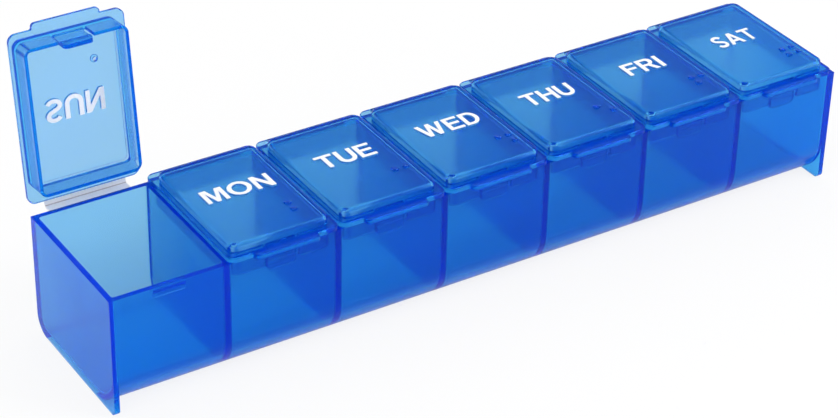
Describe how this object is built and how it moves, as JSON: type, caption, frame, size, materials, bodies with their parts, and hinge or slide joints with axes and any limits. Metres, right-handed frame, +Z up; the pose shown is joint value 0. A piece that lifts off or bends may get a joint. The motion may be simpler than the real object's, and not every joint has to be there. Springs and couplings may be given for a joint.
{
  "type": "weekly pill organizer",
  "caption": "Long clear blue pill box with a row of equal compartments, each under a flip lid on a moulded web hinge at the back.",
  "frame": {"origin": "middle of the flat underside of the floor, halfway along and halfway across the tray", "axes": "+X along the row from the first day to the last, -Y out of the front wall with the finger tabs, +Z up"},
  "size_m": [0.2114, 0.0549, 0.0783],
  "materials": {
    "clear_blue": "clear tinted polypropylene, smooth",
    "pale_web": "thin clear polypropylene, smooth"
  },
  "bodies": {
    "tray_body": {"tray": "clear_blue", "web_tray_leaf_sunday": "pale_web", "web_tray_leaf_monday": "pale_web", "web_tray_leaf_tuesday": "pale_web", "web_tray_leaf_wednesday": "pale_web", "web_tray_leaf_thursday": "pale_web", "web_tray_leaf_friday": "pale_web", "web_tray_leaf_saturday": "pale_web"},
    "lid_body_sunday": {"lid_sunday": "clear_blue", "web_lid_leaf_sunday": "pale_web"},
    "lid_body_monday": {"lid_monday": "clear_blue", "web_lid_leaf_monday": "pale_web"},
    "lid_body_tuesday": {"lid_tuesday": "clear_blue", "web_lid_leaf_tuesday": "pale_web"},
    "lid_body_wednesday": {"lid_wednesday": "clear_blue", "web_lid_leaf_wednesday": "pale_web"},
    "lid_body_thursday": {"lid_thursday": "clear_blue", "web_lid_leaf_thursday": "pale_web"},
    "lid_body_friday": {"lid_friday": "clear_blue", "web_lid_leaf_friday": "pale_web"},
    "lid_body_saturday": {"lid_saturday": "clear_blue", "web_lid_leaf_saturday": "pale_web"}
  },
  "joints": [
    {"name": "hinge_sunday", "type": "hinge", "parent": "tray_body", "child": "lid_body_sunday", "pos_m": [-0.09, 0.0234, 0.0324], "axis": [-1, 0, 0], "range_deg": [-97, 83]},
    {"name": "hinge_monday", "type": "hinge", "parent": "tray_body", "child": "lid_body_monday", "pos_m": [-0.06, 0.0234, 0.0324], "axis": [-1, 0, 0], "range_deg": [0, 180]},
    {"name": "hinge_tuesday", "type": "hinge", "parent": "tray_body", "child": "lid_body_tuesday", "pos_m": [-0.03, 0.0234, 0.0324], "axis": [-1, 0, 0], "range_deg": [0, 180]},
    {"name": "hinge_wednesday", "type": "hinge", "parent": "tray_body", "child": "lid_body_wednesday", "pos_m": [0, 0.0234, 0.0324], "axis": [-1, 0, 0], "range_deg": [0, 180]},
    {"name": "hinge_thursday", "type": "hinge", "parent": "tray_body", "child": "lid_body_thursday", "pos_m": [0.03, 0.0234, 0.0324], "axis": [-1, 0, 0], "range_deg": [0, 180]},
    {"name": "hinge_friday", "type": "hinge", "parent": "tray_body", "child": "lid_body_friday", "pos_m": [0.06, 0.0234, 0.0324], "axis": [-1, 0, 0], "range_deg": [0, 180]},
    {"name": "hinge_saturday", "type": "hinge", "parent": "tray_body", "child": "lid_body_saturday", "pos_m": [0.09, 0.0234, 0.0324], "axis": [-1, 0, 0], "range_deg": [0, 180]}
  ]
}
